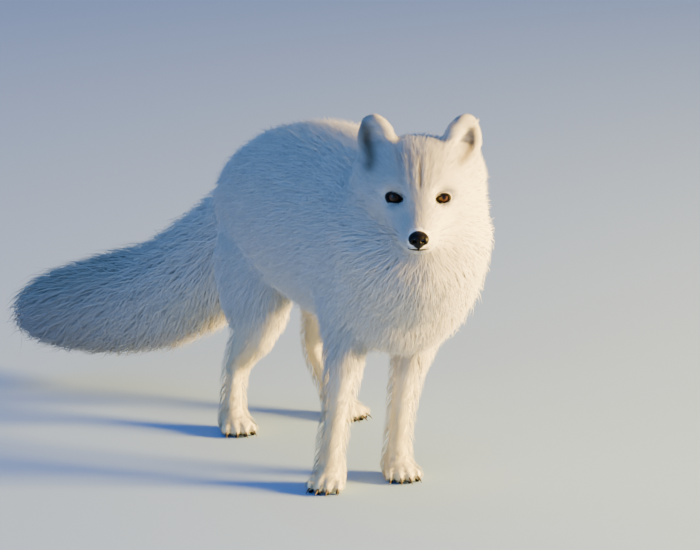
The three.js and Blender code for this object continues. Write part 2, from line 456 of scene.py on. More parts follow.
class FoxColours(bpy.types.PropertyGroup):
    """Colours of the coat, skin, eyes, nose and stage."""

    coat: bpy.props.FloatVectorProperty(
        name="Coat", description="Winter coat", subtype="COLOR", default=linear("#fffefc"))
    legs: bpy.props.FloatVectorProperty(
        name="Legs", description="Coat on the lower legs and feet", subtype="COLOR",
        default=linear("#e5dfc0"))
    # Also the colour of the painted shade in the ears' hollows and the forehead's furrows.
    shade: bpy.props.FloatVectorProperty(
        name="Shade", description="Greyer coat on the forehead, in the ears and on the tail",
        subtype="COLOR", default=linear("#968e7e"))
    leather: bpy.props.FloatVectorProperty(
        name="Leather", description="Nose, lips and lid rims", subtype="COLOR", default=linear("#100d0b"))
    iris: bpy.props.FloatVectorProperty(
        name="Iris", description="Amber brown", subtype="COLOR", default=linear("#452816"))
    floor: bpy.props.FloatVectorProperty(
        name="Floor", description="Plain pale floor", subtype="COLOR", default=linear("#90aee0"))


# The shape of the skin and the lie of the coat ----------------------------------------------------


class Shape:
    """The fields that the skin and the coat are grown from, worked out once."""

    FINE = 1.6 * MM        # step of the grid that the skin is taken from
    COARSE = 4.8 * MM      # step of the grid for what changes slowly
    MARGIN = 14 * MM       # how far both reach past the solids
    CLOSE = 1.0 * MM       # closes the cuts between the solids
    BLEND = 6 * MM         # how far neighbouring solids share their coat's depth
    SWAY = 0.11            # how far whole patches of the coat lean aside
    COMBED = 30            # times that the lie of the coat is evened out

    def __init__(self, sizes):
        fine = self.fine = Grid(CAD_BOX, self.FINE, self.MARGIN)
        coarse = self.coarse = Grid(CAD_BOX, self.COARSE, self.MARGIN)
        whole = np.inf
        for name in NODES:
            whole = np.minimum(whole, fine.distance_to_node(name, 3 * MM, 5 * MM))
        points, triangles, quads = fine.surface(whole, self.CLOSE)
        outline = fine.distance(points, triangles, quads, 48 * MM, 20 * MM) + np.float32(self.CLOSE)
        self.outline = Field(fine, outline)
        self.weights = self._weights()
        depth = self._depth(sizes)
        self.depth = Field(coarse, blurred(depth.astype(np.float32), 1.0))
        # Height above the skin, softened so that the joins between the solids run out: most on the
        # trunk and neck and least on the ears, which are thin.
        bulk = Field(coarse, ramp(self.share("neck", "trunk"), 0.0, 0.6).astype(np.float32)).on(fine)
        thin = Field(coarse, ramp(self.near_ear, 9 * MM, 2 * MM).astype(np.float32)).on(fine)
        broad = Field(coarse, blurred(self.outline.at_grid(coarse).astype(np.float32), 1.4)).on(fine)
        skin = mix(blurred(outline, 1.6), broad, bulk)
        skin = mix(skin, blurred(outline, 0.7), thin) + self.depth.on(fine)
        self._part_toes(skin)
        self._fold_head(skin)
        self._raise_lids(skin)
        self.height = Field(fine, skin)
        self.flow = self._flow()
        patches = Grid(CAD_BOX, 11 * MM, 30 * MM)
        rng = np.random.default_rng(SEED)
        self.sway = Field(patches, rng.normal(0, self.SWAY, (*patches.counts, 3)))

    def _weights(self):
        """How much of each point belongs to each CAD node: the nodes are on the array's last axis."""
        reach = 45 * MM
        near = [self.coarse.distance_to_node(name, reach, reach) for name in NODES]
        self.near_leg = np.min([near[NODES.index(name)] for name in LEGS], axis=0)
        self.near_ear = np.min([near[NODES.index(name)] for name in EARS], axis=0)
        share = np.exp(-np.stack(near, -1) / self.BLEND)
        return share / share.sum(-1, keepdims=True)

    def share(self, *names):
        """The weight of some nodes together."""
        return sum(self.weights[..., NODES.index(name)] for name in names)

    def _depth(self, sizes):
        """The coat's depth at the points of the coarse grid."""
        points = self.coarse.points()
        z = points[..., 2] / MM
        x, y, up = np.moveaxis(in_head(points), -1, 0)
        cheek = ramp(np.abs(y), 24, 52) * ramp(-up, -6, 26)
        nape = ramp(-x, 34, 74)
        face = sizes.brow + (sizes.cheek - sizes.brow) * np.maximum(cheek, nape)
        eye = np.minimum(*(np.linalg.norm(points - EYES[s], axis=-1) for s in SIDES))
        bare = np.maximum(ramp(x, -6, 22), 1 - ramp(eye, 11 * MM, 34 * MM))
        face = mix(face, sizes.muzzle, bare)
        legs = mix(sizes.shin, sizes.haunch, ramp(z, 105, 165))
        above_belly = ramp(z, 150, 210)
        torso = mix(sizes.belly, sizes.back, above_belly)
        ruff = mix(sizes.belly, sizes.ruff, above_belly)
        depth = (
            self.share("head", "lower_jaw", "nose", "eye_left", "eye_right") * face
            + self.share(*EARS) * sizes.ear
            + self.share("neck") * ruff
            + self.share("trunk") * torso
            + self.share("tail") * sizes.brush
            + self.share(*LEGS) * legs
            + self.share(*PAWS) * sizes.foot * mix(0.2, 1, ramp(z, 0, 14))
        )
        by_leg = np.exp(-np.maximum(self.near_leg, 0) / (22 * MM))
        depth = mix(depth, np.minimum(depth, legs), by_leg)
        return np.minimum(depth, sizes.ear + 0.6 * np.maximum(self.near_ear, 0))

    def _part_toes(self, skin):
        """Sinks the grooves between the toes into the skin."""
        xs, ys, zs = self.fine.lines()
        low = zs < 50 * MM
        flat = np.stack(np.meshgrid(xs, ys, indexing="ij"), -1)
        for centre, along, across, length, width in paw_frames().values():
            l, w = (flat - centre) @ along, (flat - centre) @ across
            groove = sum(np.exp(-((w - k * width * TOE_SPACING) / (1.7 * MM)) ** 2) for k in (-1, 0, 1))
            ahead = ramp(l, 0.0, 0.3 * length) * (np.abs(l) < 0.75 * length) * (np.abs(w) < 0.6 * width)
            fade = 1 - ramp(zs[low], 22 * MM, 42 * MM)
            skin[:, :, low] += (2.6 * MM * (groove * ahead)[:, :, None] * fade).astype(np.float32)

    def _fold_head(self, skin):
        """Sinks the furrows of the forehead into the skin."""
        block, points = self.fine.block(FACE, 75 * MM)
        skin[block] += (0.7 * furrows(in_head(points)) * MM).astype(np.float32)

    def _raise_lids(self, skin):
        """Swells the skin over the eyeballs, though not in the lids' openings, to bear the lids' fur."""
        for eye in LIDDED:
            block, points = self.fine.block(eye.centre, 20 * MM)
            local = eye.local(points.reshape(-1, 3))
            gap = eye.off_almond(local[:, :2])[0]
            below = 0.7 + 3.0 * ramp(gap, 1.5, 0.0)
            flat = skin[block].ravel()
            raised = rounded_union(flat / MM, eye.lid_height(local, gap) + below, 2.0) * MM
            skin[block] = np.where(local[:, 2] > 0, raised, flat).reshape(points.shape[:3])

    def _flow(self):
        """The way the coat lies: away from the nose over the body's surface, and a little downwards."""
        middle_of_coat = self.height.at_grid(self.coarse) - 0.5 * self.depth.values
        points, _, quads = self.coarse.surface(middle_of_coat)
        corners = ((0, 1), (1, 2), (2, 3), (3, 0), (0, 2), (1, 3))
        pairs = np.concatenate([quads[:, pair] for pair in corners])
        pairs = np.unique(np.sort(pairs, 1), axis=0)
        gaps = np.linalg.norm(points[pairs[:, 0]] - points[pairs[:, 1]], axis=1)
        links = [[] for _ in points]
        for (a, b), gap in zip(pairs.tolist(), gaps.tolist()):
            links[a].append((b, gap))
            links[b].append((a, gap))
        # How far each point is from the nose over the surface: the coat lies the way that this grows.
        start = int(np.argmin(np.linalg.norm(points - NOSE, axis=1)))
        far = np.full(len(points), np.inf)
        far[start] = 0
        queue = [(0.0, start)]
        while queue:
            d, a = heapq.heappop(queue)
            if d > far[a]:
                continue
            for b, gap in links[a]:
                if d + gap < far[b]:
                    far[b] = d + gap
                    heapq.heappush(queue, (d + gap, b))
        known = np.isfinite(far)
        a, b = pairs[known[pairs[:, 0]] & known[pairs[:, 1]]].T
        step = points[b] - points[a]
        pull = step * ((far[b] - far[a]) / np.maximum(np.sum(step ** 2, 1), 1e-12))[:, None]
        flow = np.zeros_like(points)
        np.add.at(flow, a, pull)
        np.add.at(flow, b, pull)
        normal = self.height.slope(points)
        body = Field(self.coarse, self.share("neck", "trunk")).at(points)[:, None]
        flow = unit(flow) + 1.2 * body * np.array((-1, 0, -0.15))      # backwards on neck and trunk
        for _ in range(self.COMBED):
            flow = unit(flow - normal * dot(flow, normal))
            spread = flow.copy()
            np.add.at(spread, a, flow[b])
            np.add.at(spread, b, flow[a])
            flow = spread
        flow = unit(unit(flow - normal * dot(flow, normal)) + np.array((0, 0, -0.22)))
        cells = np.round((points - self.coarse.low) / self.coarse.step).astype(int)
        total = np.zeros((*self.coarse.counts, 4), np.float32)
        np.add.at(total, tuple(cells.T), np.concatenate([flow, np.ones((len(flow), 1))], 1))
        total = blurred(total, 1.7)
        return Field(self.coarse, total[..., :3] / np.maximum(total[..., 3:], 1e-6))


shape = None          # the fox's Shape, once the skin's operator has made it


def furrows(head):
    """How deep the forehead's furrows are at points in the head's frame: they fan out from the brows."""
    x, y, z = np.moveaxis(head, -1, 0)
    middle_line = 1.15 * np.exp(-((y - 1.0) / 1.7) ** 2) * ramp(z, 9, 14) * ramp(z, 46, 26)
    inner = 0.5 * np.exp(-((np.abs(y - 0.5) - 6.5 - 0.10 * z) / 1.6) ** 2)
    outer = 0.35 * np.exp(-((np.abs(y) - 12.5 - 0.22 * z) / 1.8) ** 2)
    inner *= ramp(z, 6, 16) * ramp(z, 58, 34)
    outer *= ramp(z, 9, 18) * ramp(z, 56, 40)
    return (middle_line + inner + outer) * ramp(x, -56, -40)


def near_line(head, line, width):
    """A bell round a bent line on the front of the head, in the head's frame. Depth counts for little."""
    flat = np.array((0.35, 1, 1))
    line = np.array(line) * flat
    away = np.min([capsule(head * flat, a, b, 0.0) for a, b in zip(line, line[1:])], axis=0)
    return np.exp(-(away / width) ** 2)


# The line of painted shade in each ear's hollow, in the head's frame, from inside its outer edge down
# to the notch at its base, and its width.
EAR_HOLLOW_SHADE = {
    "left": (((-42, 50, 58), (-42, 50, 48), (-37, 48, 40), (-26, 45, 35), (-12, 40, 32)), 4.8),
    "right": (((-39, -51, 58), (-39, -50, 46), (-30, -47, 38), (-22, -45, 32), (-17, -47, 27)), 6.5),
}


def grey_hair_and_painted_shade(points):
    """How grey the coat is: grey hair on the forehead, round the ears, beside the eyes and on the tail,
    and painted shade in the forehead's furrows and the ears' hollows.
    """
    head = in_head(points)
    x, y, z = head.T
    brow = ramp(z, 4, 18) * ramp(z, 58, 36) * ramp(-x, -24, 0) * ramp(x, -60, -40)
    brow *= ramp(np.abs(y), 28, 14)
    streak = 0.5 + 0.5 * np.sin(y * (1.35 + 0.01 * z) + 1.3 * np.sin(z * 0.11 + 0.6))
    # Grey hair in streaks on the forehead, and painted shade in its furrows
    grey = np.maximum(brow * (0.12 + 0.45 * streak ** 2), furrows(head))
    bridge = ramp(x, 12, 26) * ramp(x, 50, 38) * ramp(z, -34, -24) * ramp(np.abs(y), 9, 3) * 0.18
    grey = np.maximum(grey, bridge)
    for side, sign in SIDES.items():
        low, high = corners_of(f"ear_{side}")
        ear = (points - low) / (high - low)
        inside = np.all((ear > -0.05) & (ear < 1.05), axis=1)
        rim = ramp(ear[:, 2], 0.6, 1.0) * 0.3
        grey = np.maximum(grey, np.where(inside, rim, 0))
        # Painted shade in the ear's hollow, strongest along its line
        hollow_shade_line, width = EAR_HOLLOW_SHADE[side]
        grey = np.maximum(grey, near_line(head, hollow_shade_line, width) * ramp(x, -58, -50))
        beside_eye = ((3, sign * 31, 1), (-3, sign * 39, 3.5), (-14, sign * 48, 4))
        grey = np.maximum(grey, 0.5 * near_line(head, beside_eye, 1.3))
    low, high = corners_of("tail")
    tail = ramp(points[:, 0], high[0] - 40 * MM, low[0] + 50 * MM) * 0.5
    return np.clip(np.maximum(grey, tail), 0, 1)


def creaminess(points):
    """How cream the coat is at points: on the lower legs and feet."""
    before_tail = points[:, 0] > corners_of("trunk")[0][0] - 30 * MM
    return ramp(points[:, 2], 160 * MM, 50 * MM) * np.where(before_tail, 1, 0)


# Skin ---------------------------------------------------------------------------------------------


def marked(tree, colour, colours):
    """The coat's colour with its cream and grey markings and painted shade, which skin and tufts both
    carry.
    """
    for marking, tint in (("cream", colours.legs), ("grey", colours.shade)):
        amount = node(tree, "ShaderNodeAttribute", attribute_name=marking)
        colour = node(tree, "ShaderNodeMix", data_type="RGBA", sockets={
            AMOUNT: amount.outputs["Fac"], FIRST: colour, SECOND: tint}).outputs[MIXED]
    return colour


def mark(obj):
    """Gives each vertex of a piece the markings and the painted shade at its place."""
    points = rows_of(obj.data.vertices, "co", 3).astype(float)
    # grey holds grey hair and the painted shade of the ears' hollows and the forehead's furrows
    add_values(obj, "grey", grey_hair_and_painted_shade(points))
    add_values(obj, "cream", creaminess(points))


def skin_material(colours):
    """Pale hide with short underfur: matt, faintly mottled, and hardly seen between the tufts."""
    made, tree = new_material("hide, pale, with underfur")
    place = node(tree, "ShaderNodeTexCoord")
    mottles = 1 / (11 * MM)          # mottles about 11 mm across
    mottle = node(tree, "ShaderNodeTexNoise", {
        "Vector": place.outputs["Object"], "Scale": mottles, "Detail": 4})
    base = node(tree, "ShaderNodeMix", data_type="RGBA", sockets={
        AMOUNT: mottle.outputs["Fac"], FIRST: linear("#e9e4dc"), SECOND: linear("#f4f1ec")})
    surface = node(tree, "ShaderNodeBsdfPrincipled", {
        "Base Color": marked(tree, base.outputs[MIXED], colours), "Roughness": 0.8,
        "Specular IOR Level": 0.2})
    node(tree, "ShaderNodeOutputMaterial", {"Surface": surface.outputs["BSDF"]})
    return made


class FOX_OT_skin(bpy.types.Operator):
    """Make the one skin that lies under the coat"""

    bl_idname = "fox.skin"
    bl_label = "Skin"

    def execute(self, context):
        global shape
        shape = Shape(context.scene.fox_sizes)
        points, triangles, quads = shape.fine.surface(shape.height.values, 0.0, 0.25)
        material = skin_material(context.scene.fox_colours)
        skin = mesh_from("skin", points, [triangles, quads], material=material)
        context.view_layer.objects.active = skin
        skin.select_set(True)
        bpy.ops.object.mode_set(mode="EDIT")
        bpy.ops.mesh.select_all(action="SELECT")
        bpy.ops.uv.smart_project(angle_limit=math.radians(66), island_margin=0.002)
        bpy.ops.object.mode_set(mode="OBJECT")
        skin.data.uv_layers[0].name = "OFBake"
        mark(skin)
        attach(skin, BODY)
        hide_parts(*[name for name in NODES if not name.startswith(("eye", "nose"))])
        return {"FINISHED"}


# Coat ---------------------------------------------------------------------------------------------


def coat_material(colours):
    """Winter fur: white hair that lets light through, silky rather than glossy, uneven in tone."""
    made, tree = new_material("fur, white winter guard hair")
    tone = node(tree, "ShaderNodeAttribute", attribute_name="tone")      # one number for each tuft
    base = node(tree, "ShaderNodeMix", data_type="RGBA", sockets={
        AMOUNT: tone.outputs["Fac"], FIRST: linear("#e9e6e0"), SECOND: colours.coat})
    tint = marked(tree, base.outputs[MIXED], colours)
    hair = node(tree, "ShaderNodeBsdfPrincipled", {
        "Base Color": tint, "Roughness": 0.6, "Specular IOR Level": 0.25})
    through = node(tree, "ShaderNodeBsdfTranslucent", {"Color": tint})
    both = node(tree, "ShaderNodeMixShader", {
        "Fac": 0.28, 1: hair.outputs["BSDF"], 2: through.outputs["BSDF"]})
    node(tree, "ShaderNodeOutputMaterial", {"Surface": both.outputs["Shader"]})
    return made


class Skin:
    """The skin's triangles, with what is needed to set roots on them."""

    def __init__(self, obj):
        mesh = obj.data
        mesh.calc_loop_triangles()
        corners = rows_of(mesh.loop_triangles, "vertices", 3, np.int32)
        loops = rows_of(mesh.loop_triangles, "loops", 3, np.int32)
        self.points = rows_of(mesh.vertices, "co", 3)[corners].astype(float)
        self.uv = rows_of(mesh.uv_layers["OFBake"].uv, "vector", 2)[loops].astype(float)
        cross = np.cross(self.points[:, 1] - self.points[:, 0], self.points[:, 2] - self.points[:, 0])
        self.area = np.linalg.norm(cross, axis=1) / 2
        self.centre = self.points.mean(1)

    def roots(self, count, weight, rng):
        """Random places on the skin, as many as asked for, with their place on its map."""
        chance = np.cumsum(self.area * weight)
        pick = np.searchsorted(chance, rng.random(count) * chance[-1])
        a, b = np.sqrt(rng.random(count)), rng.random(count)
        parts = np.stack([1 - a, a * (1 - b), a * b], 1)[:, :, None]
        return (self.points[pick] * parts).sum(1), (self.uv[pick] * parts).sum(1)


PATCH = 0.003          # how far a tuft spreads on the skin's map
TOE_SPACING = 0.245    # from toe to toe, for each width of a paw


def eye_gap(points):
    """Distance from the nearer eye's almond, in mm, for points near it, and far for the others."""
    out = np.full(len(points), 99.0)
    for eye in LIDDED:
        near = eye.near(points)
        if len(near):
            out[near] = np.minimum(out[near], eye.off_almond(eye.local(points[near])[:, :2])[0])
    return out


def clear_of_eyes(points, gap=0.9):
    """Moves points that hang over an eye's almond to its edge."""
    for eye in LIDDED:
        near = eye.near(points)
        if len(near):
            local = eye.local(points[near])
            off, out = eye.off_almond(local[:, :2])
            local[:, :2] += out * np.maximum(gap - off, 0)[:, None]
            points[near] = eye.world(local)
    return points


def paw_frames():
    """Each paw's place on the floor, the way it points and its length and width."""
    out = {}
    for name in PAWS:
        points = vertices_of(name)
        sole = points[points[:, 2] < 12 * MM, :2].astype(float)
        centre = sole.mean(0)
        ahead = np.linalg.eigh(np.cov((sole - centre).T))[1][:, 1]
        ahead = ahead * np.sign(ahead[0])
        across = np.array((-ahead[1], ahead[0]))
        along, wide = (sole - centre) @ ahead, (sole - centre) @ across
        centre = centre + ahead * (along.max() + along.min()) / 2
        out[name] = (centre, ahead, across, np.ptp(along), np.ptp(wide))
    return out


class Tufts:
    """Tufts of hair: each is a thin three-sided spike on a bent spine, closed at its root."""

    LOCK = 8               # tufts in a lock
    SOFT = 0.8             # how far a tuft is shaded as the coat's surface and not as a spike
    ROOT = 0.6 * MM        # how deep the roots are sunk in the skin
    FLOOR = 0.5 * MM       # the lowest a spine may go

    def __init__(self, roots, uv, lengths, widths, spine_points, rng):
        self.roots, self.uv, self.lengths, self.widths = roots, uv, lengths, widths
        self.rings, self.rng = spine_points - 1, rng

    def lay(self, reach, stand, droop, swing, lean=0.0):
        """Spines that leave the skin, then lie the way the coat does and lean a way of their own.

        They rise to `reach` for each depth of the coat, and `stand` besides. Where the body falls away
        under them they follow it by the share `droop`.
        """
        roots, spine_points = self.roots, self.rings + 1
        swing = self.rng.normal(0, swing, (len(roots), 3)) + lean
        place = roots
        normal = shape.height.slope(place)
        spine, normals, before = [roots - normal * self.ROOT], [normal], 0.0
        for k in range(1, spine_points):
            t = k / self.rings
            way = shape.flow.at(place) + swing + shape.sway.at(place)
            for eye in EYES.values():
                off = place - eye
                near = np.exp(-(np.linalg.norm(off, axis=1)[:, None] / (12 * MM)) ** 2)
                way = way + 0.9 * unit(off) * near
            way = unit(unit(way - normal * dot(way, normal)) + before * (1 - droop))
            before = way
            place = clear_of_eyes(place + way * (self.lengths / self.rings)[:, None])
            normal = shape.height.slope(place)
            want = (shape.depth.at(place) * reach + stand) * (1 - (1 - t) ** 1.7)
            short = want - shape.height.at(place)
            place = place + normal * np.where(short > 0, short, short * droop)[:, None]
            place[:, 2] = np.maximum(place[:, 2], self.FLOOR)
            spine.append(place)
            normals.append(normal)
        self.spine, self.normals = np.stack(spine, 1), np.stack(normals, 1)

    def gather(self, pull):
        """Draws the tips of neighbours together into locks."""
        roots, rng = self.roots, self.rng
        centres = rng.permutation(len(roots))[:max(1, len(roots) // self.LOCK)]
        tree = kdtree.KDTree(len(centres))
        for k, c in enumerate(centres):
            tree.insert(roots[c], k)
        tree.balance()
        lead = centres[[tree.find(r)[1] for r in roots]]
        strength = (pull * rng.uniform(0.6, 1.25, len(roots)))[lead]
        t = np.linspace(0, 1, self.spine.shape[1]) ** 1.3
        self.spine = mix(self.spine, self.spine[lead], (strength[:, None] * t)[..., None])

    def build(self, name, material):
        """Makes the mesh object."""
        spine, rings, rng = self.spine, self.rings, self.rng
        count = len(spine)
        along = unit(np.gradient(spine, axis=1))[:, :rings]
        up = self.normals[:, :rings]
        side = unit(np.cross(up, along))
        up = np.cross(along, side)
        roll = rng.uniform(-0.4, 0.4, (count, 1, 1))
        side, up = side * np.cos(roll) + up * np.sin(roll), up * np.cos(roll) - side * np.sin(roll)
        taper = np.interp(np.arange(rings) / rings, (0, 0.3, 0.7, 1), (0.75, 1.0, 0.62, 0))
        half = (self.widths[:, None] * taper / 2)[..., None]
        body = spine[:, :rings]
        ring = np.stack([body + side * half, body + up * half * 0.9, body - side * half], 2)
        points = np.concatenate([ring.reshape(count, -1, 3), spine[:, -1:]], 1)
        lean = np.stack([side, up, -side], 2).reshape(count, -1, 3)
        facing = np.concatenate([lean, self.normals[:, -1:]], 1)
        over = np.concatenate([np.repeat(self.normals[:, :rings], 3, 1), self.normals[:, -1:]], 1)
        facing = unit(mix(facing, over, self.SOFT))
        quads = [(3 * k + j, 3 * k + (j + 1) % 3, 3 * k + 3 + (j + 1) % 3, 3 * k + 3 + j)
                 for k in range(rings - 1) for j in range(3)]
        tips = [(3 * rings - 3 + j, 3 * rings - 3 + (j + 1) % 3, 3 * rings) for j in range(3)]
        triangles = [*tips, (2, 1, 0)]
        quad_uv = [[(j / 3, k / rings), ((j + 1) / 3, k / rings),
                    ((j + 1) / 3, (k + 1) / rings), (j / 3, (k + 1) / rings)]
                   for k in range(rings - 1) for j in range(3)]
        last = (rings - 1) / rings
        tip_uv = [[(j / 3, last), ((j + 1) / 3, last), ((j + 0.5) / 3, 1)] for j in range(3)]
        root_uv = [[(0.6, -0.02), (0.5, -0.2), (0.4, -0.02)]]
        first = (np.arange(count) * points.shape[1])[:, None, None]
        quads = (first + np.array(quads)).reshape(-1, 4)
        triangles = (first + np.array(triangles)).reshape(-1, 3)
        spread = [np.array(quad_uv).reshape(-1, 2), np.array(tip_uv + root_uv).reshape(-1, 2)]
        uv = np.concatenate([(self.uv[:, None] + (part - 0.5) * PATCH).reshape(-1, 2) for part in spread])
        obj = mesh_from(name, points.reshape(-1, 3), [quads, triangles], uv, material)
        rows = np.minimum(np.arange(points.shape[1]) // 3, rings)
        # Grey hair and painted shade, read at the points of each tuft's spine
        grey = grey_hair_and_painted_shade(spine.reshape(-1, 3)).reshape(count, -1)[:, rows]
        add_values(obj, "grey", grey.ravel())
        for key, value in (("cream", creaminess(self.roots)), ("tone", rng.random(count))):
            add_values(obj, key, np.repeat(value, points.shape[1]))
        obj.data.normals_split_custom_set_from_vertices(facing.reshape(-1, 3))
        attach(obj, BODY)
        return obj


# How each kind of piece of the coat is made: its number of tufts, the points on each tuft's spine, how
# far its tips draw together in locks, how far the tufts swing aside, how far out they reach for each
# depth of coat, how far they stand out besides, how closely they follow the body where it falls away,
# and what is added to their length.
Piece = namedtuple("Piece", "count spine_points pull swing reach stand droop longer",
                   defaults=(0.2, 0.2, (0.85, 1.35), 0, 0.8, 0))
COAT_PIECES = {
    "shoulder": Piece(13600, 3, pull=0.12, droop=0.75),
    "flank": Piece(13600, 3, pull=0.12, droop=0.75),
    "ruff": Piece(7200, 4, swing=0.27, reach=(0.85, 1.5), droop=0.3, longer=6 * MM),
    "brush_root": Piece(6700, 4, pull=0.12, swing=0.35, reach=(0.8, 1.5), droop=0.7),
    "brush_tip": Piece(6700, 4, swing=0.38, reach=(0.8, 1.6), droop=0.2, longer=14 * MM),
    "face": Piece(11500, 3, reach=(0.8, 1.2)),
    "ears": Piece(6000, 3, swing=0.26, stand=1.5 * MM, droop=0.5, longer=3 * MM),
    "ear_fringes": Piece(900, 4, pull=0.5, swing=0.25, stand=5 * MM, droop=1, longer=6 * MM),
    "thighs": Piece(8000, 4),
    "shins": Piece(8000, 3, droop=0.9),
}
PAIRED = ("shoulder", "flank", "ruff", "face")      # kinds with a left and a right piece
GUARD_HAIRS = 0.15     # share of the tufts that are long thin guard hairs


def ear_hollow(points):
    """Whether points on the skin line the front of an ear, on the side towards the forehead."""
    inside = np.zeros(len(points), bool)
    facing = shape.height.slope(points) @ TURN.T
    for side, sign in SIDES.items():
        low, high = corners_of(f"ear_{side}")
        near = np.all((points > low - 2 * MM) & (points < high - np.array((0, 0, 9 * MM))), axis=1)
        across = sign * (in_head(points)[:, 1] - in_head(middle(f"ear_{side}")[None])[0, 1])
        inside |= near & (facing[:, 0] > 0.3) & (across < 6)
    return inside


def coat_parts(skin):
    """The coat's pieces: the name of each, its kind, and which of the skin's triangles it grows on."""
    groups = {
        "head": [name for name in NODES if name.startswith(("head", "lower_jaw", "nose", "eye"))],
        "ear": EARS, "neck": ["neck"], "trunk": ["trunk"], "tail": ["tail"], "leg": LEGS, "paw": PAWS,
    }
    near = Field(shape.coarse, np.stack([shape.share(*names) for names in groups.values()], -1))
    nearest = near.at(skin.centre).argmax(1)
    head, ear, neck, trunk, tail, leg, paw = (nearest == k for k in range(len(groups)))
    x, y, z = skin.centre.T
    high = z > 115 * MM
    ahead, tail_root = x > middle("trunk")[0], x > middle("tail")[0]
    left = np.where(head, in_head(skin.centre)[:, 1] > 0, y > middle("trunk")[1])
    kinds = {
        "shoulder": trunk & ahead,
        "flank": trunk & ~ahead,
        "ruff": neck,
        "brush_root": tail & tail_root,
        "brush_tip": tail & ~tail_root,
        "face": head,
        "ears": ear,
        "ear_fringes": ear & ear_hollow(skin.centre),
        "thighs": leg & high,
        "shins": paw | (leg & ~high),
    }
    for kind, inside in kinds.items():
        if kind in PAIRED:
            yield f"coat_{kind}_left", kind, inside & left
            yield f"coat_{kind}_right", kind, inside & ~left
        else:
            yield f"coat_{kind}", kind, inside


class FOX_OT_coat(bpy.types.Operator):
    """Grow the coat in tufts over the skin"""

    bl_idname = "fox.coat"
    bl_label = "Coat"

    def execute(self, context):
        sizes = context.scene.fox_sizes
        skin = Skin(bpy.data.objects["skin"])
        material = coat_material(context.scene.fox_colours)
        depth = shape.depth.at(skin.centre)
        bare = eye_gap(skin.centre) < 0.7                                   # the lids' dark rims
        bare |= np.linalg.norm(skin.centre - NOSE, axis=1) < 9.0 * MM      # under the nose pad
        bare |= skin.centre[:, 2] < 1.5 * MM                                # the soles
        crowd = ~bare / (sizes.shortest_tuft + depth) ** 0.9                # closer where shorter
        for k, (name, kind, inside) in enumerate(coat_parts(skin)):
            rng = np.random.default_rng(SEED + k)
            piece = COAT_PIECES[kind]
            roots, uv = skin.roots(piece.count, crowd * inside, rng)
            length = sizes.shortest_tuft + sizes.tuft_lie * shape.depth.at(roots) + piece.longer
            length *= rng.uniform(0.75, 1.2, piece.count) * mix(0.4, 1, ramp(eye_gap(roots), 0.5, 6))
            width = sizes.tuft_width * mix(0.35, 1, ramp(length, 4 * MM, 45 * MM))
            width *= rng.uniform(0.75, 1.25, piece.count)
            reach = rng.uniform(*piece.reach, piece.count)
            guard = rng.random(piece.count) < GUARD_HAIRS
            length[guard] *= 1.2
            width[guard] *= 0.55
            reach[guard] += 0.4
            lean = 0.0
            if kind == "ear_fringes":
                lean = LEFTWARD * np.sign(in_head(roots)[:, 1:2]) * 1.1
            tufts = Tufts(roots, uv, length, width, piece.spine_points, rng)
            stand = piece.stand * rng.uniform(0, 1, piece.count)
            tufts.lay(reach, stand, piece.droop, piece.swing, lean)
            tufts.gather(piece.pull)
            tufts.build(name, material)
        return {"FINISHED"}


# Eyes, lids, nose, lips, whiskers and claws -------------------------------------------------------


def ellipsoid(p, centre, radii):
    """Nearly the distance to an ellipsoid."""
    q = (p - np.asarray(centre, float)) / np.asarray(radii, float)
    k = np.linalg.norm(q, axis=-1)
    return k * (k - 1) / np.maximum(np.linalg.norm(q / np.asarray(radii, float), axis=-1), 1e-9)


def carved(name, box, step, distance, to_world, material):
    """A piece from a distance function on a box, in mm. `to_world` takes its points to their place."""
    grid = Grid(box, step, 0)
    points, triangles, quads = grid.surface(distance(grid.points()), 0.0, 0.0)
    obj = mesh_from(name, to_world(points), [triangles, quads], material=material)
    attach(obj, BODY)
    return obj, points


def leather_material(colours):
    """Bare black skin of the nose and lips: moist, finely pebbled leather with soft highlights."""
    made, tree = new_material("leather, black, moist nose pad")
    place = node(tree, "ShaderNodeTexCoord")
    pebbles = 1 / (0.9 * MM)          # pebbles about 0.9 mm across
    cells = node(tree, "ShaderNodeTexVoronoi", feature="SMOOTH_F1", sockets={
        "Vector": place.outputs["Object"], "Scale": pebbles})
    bump = node(tree, "ShaderNodeBump", invert=True, sockets={
        "Height": cells.outputs["Distance"], "Strength": 0.5, "Distance": 0.3 * MM})
    tint = node(tree, "ShaderNodeMix", data_type="RGBA", sockets={
        AMOUNT: cells.outputs["Distance"], FIRST: colours.leather, SECOND: linear("#060504")})
    surface = node(tree, "ShaderNodeBsdfPrincipled", {
        "Base Color": tint.outputs[MIXED], "Roughness": 0.36, "Normal": bump.outputs["Normal"],
        "Specular IOR Level": 0.15})
    node(tree, "ShaderNodeOutputMaterial", {"Surface": surface.outputs["BSDF"]})
    return made


def lid_material(colours):
    """Eyelids: a dark bare rim, damp enough to glint a little, that turns to pale matt hide greyed by
    painted shade.
    """
    made, tree = new_material("hide, eyelid with dark rim")
    rim = node(tree, "ShaderNodeAttribute", attribute_name="rim")
    # c6beb2 is pale hide greyed with painted shade, to match the shade among the fur round the eye
    tint = node(tree, "ShaderNodeMix", data_type="RGBA", sockets={
        AMOUNT: rim.outputs["Fac"], FIRST: linear("#c6beb2"), SECOND: colours.leather})
    rough = node(tree, "ShaderNodeMapRange", {"Value": rim.outputs["Fac"], "To Min": 0.8, "To Max": 0.35})
    surface = node(tree, "ShaderNodeBsdfPrincipled", {
        "Base Color": tint.outputs[MIXED], "Roughness": rough.outputs["Result"],
        "Specular IOR Level": 0.12})
    node(tree, "ShaderNodeOutputMaterial", {"Surface": surface.outputs["BSDF"]})
    return made


